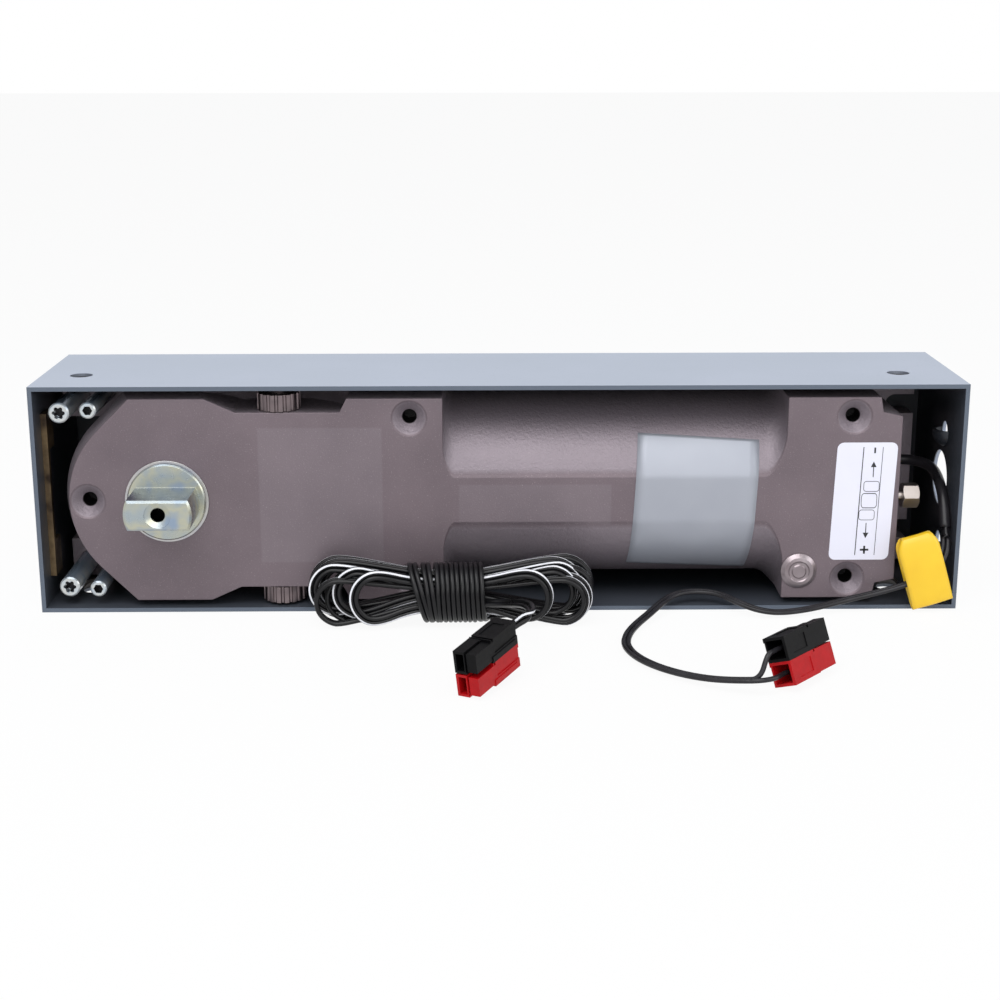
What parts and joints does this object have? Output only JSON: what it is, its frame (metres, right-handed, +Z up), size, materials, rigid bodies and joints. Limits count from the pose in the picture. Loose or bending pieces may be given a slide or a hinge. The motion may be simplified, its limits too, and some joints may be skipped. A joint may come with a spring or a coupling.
{
  "type": "floor spring door closer",
  "caption": "Electromagnetic floor spring: a hydraulic door closer with drive spindle, regulators and leads, lying in its folded cement box.",
  "frame": {"origin": "middle of the long side that the box stands on, halfway between its open face and its bottom", "axes": "+X along the box towards the cable end, +Y from the open face to the box's bottom, +Z up from the standing side; the drive spindle points along -Y"},
  "size_m": [0.324, 0.1553, 0.081],
  "materials": {
    "box_zinc": "zinc-plated, satin",
    "yellow_zinc": "yellow-passivated zinc",
    "casting": "rough casting with a thin grey paint",
    "bright_steel": "bright zinc plating",
    "bearing_steel": "ground",
    "plain_steel": "machined, oiled",
    "spring_steel": "oil-tempered, dark",
    "piston_iron": "turned",
    "brass": "turned",
    "copper": "enamelled copper wire",
    "black_rubber": "soft, satin",
    "grey_plastic": "moulded",
    "black_plastic": "moulded",
    "red_plastic": "moulded",
    "yellow_film": "printed film"
  },
  "bodies": {
    "closer": {"cement_box": "box_zinc", "end_bracket": "yellow_zinc", "closer_body": "casting", "shaft_seal": "black_rubber", "upper_bearing": "bearing_steel", "thrust_cage": "bearing_steel", "thrust_washer_lower": "bearing_steel", "bottom_cover": "casting", "cover_seal": "black_rubber", "mainspring": "spring_steel", "spring_seat": "plain_steel", "snap_ring": "spring_steel", "end_plug": "casting", "plug_seal": "black_rubber", "valve_carrier": "plain_steel", "coil_bobbin": "grey_plastic", "coil_winding": "copper", "coil_can": "plain_steel", "pole_core": "plain_steel", "filler_plug": "bright_steel", "clamp_screws": "bright_steel", "cable_gland": "black_plastic", "lead_sleeve": "black_plastic", "closer_lead": "black_rubber", "lead_flag": "yellow_film", "lead_plug_red": "red_plastic", "lead_plug_black": "black_plastic", "supply_hank": "black_rubber", "supply_tail": "black_rubber", "supply_plug_red": "red_plastic", "supply_plug_black": "black_plastic"},
    "drive_spindle": {"spindle": "bright_steel", "thrust_washer_upper": "bearing_steel"},
    "piston_group": {"yoke_plates": "plain_steel", "yoke_head": "plain_steel", "roller_pin": "bearing_steel", "pull_rod": "plain_steel", "piston": "piston_iron", "piston_seal": "grey_plastic", "check_ball": "bearing_steel", "check_bush": "brass", "rod_nut": "plain_steel"},
    "roller": {"cam_roller": "bearing_steel"},
    "armature": {"armature": "plain_steel"},
    "speed_valve": {"speed_valve": "bright_steel"},
    "side_regulator_top": {"side_regulator_top": "bright_steel"},
    "side_regulator_low": {"side_regulator_low": "bright_steel"},
    "level_screw_top": {"level_screw_top": "bright_steel"},
    "level_screw_low": {"level_screw_low": "bright_steel"}
  },
  "joints": [
    {"name": "spindle_turn", "type": "hinge", "parent": "closer", "child": "drive_spindle", "pos_m": [-0.1163, 0, 0.04], "axis": [0, 1, 0], "range_deg": [0, 120], "stiffness_Nm_per_rad": 4, "springref_deg": -28.65},
    {"name": "piston_slide", "type": "slide", "parent": "closer", "child": "piston_group", "axis": [-1, 0, 0], "range_m": [0, 0.0088], "deforming": ["mainspring"]},
    {"name": "roller_spin", "type": "hinge", "parent": "piston_group", "child": "roller", "pos_m": [-0.1323, 0, 0.04], "axis": [0, 1, 0], "continuous": true},
    {"name": "armature_slide", "type": "slide", "parent": "closer", "child": "armature", "axis": [1, 0, 0], "range_m": [0, 0.002]},
    {"name": "speed_valve_turn", "type": "hinge", "parent": "closer", "child": "speed_valve", "pos_m": [0.1398, -0.0264, 0.04], "axis": [1, 0, 0], "range_deg": [-180, 360]},
    {"name": "side_regulator_top_turn", "type": "hinge", "parent": "closer", "child": "side_regulator_top", "pos_m": [-0.077, -0.024, 0.0714], "axis": [0, 0, 1], "range_deg": [-180, 360]},
    {"name": "side_regulator_low_turn", "type": "hinge", "parent": "closer", "child": "side_regulator_low", "pos_m": [-0.077, -0.024, 0.0086], "axis": [0, 0, -1], "range_deg": [-180, 360]},
    {"name": "level_screw_top_turn", "type": "hinge", "parent": "closer", "child": "level_screw_top", "pos_m": [-0.1423, 0, 0.0722], "axis": [0, 1, 0], "range_deg": [-360, 360]},
    {"name": "level_screw_low_turn", "type": "hinge", "parent": "closer", "child": "level_screw_low", "pos_m": [-0.1423, 0, 0.0078], "axis": [0, 1, 0], "range_deg": [-360, 360]}
  ],
  "couplings": [
    {"joint": "piston_slide", "follows": "spindle_turn", "m_per_rad": 0.0042}
  ]
}
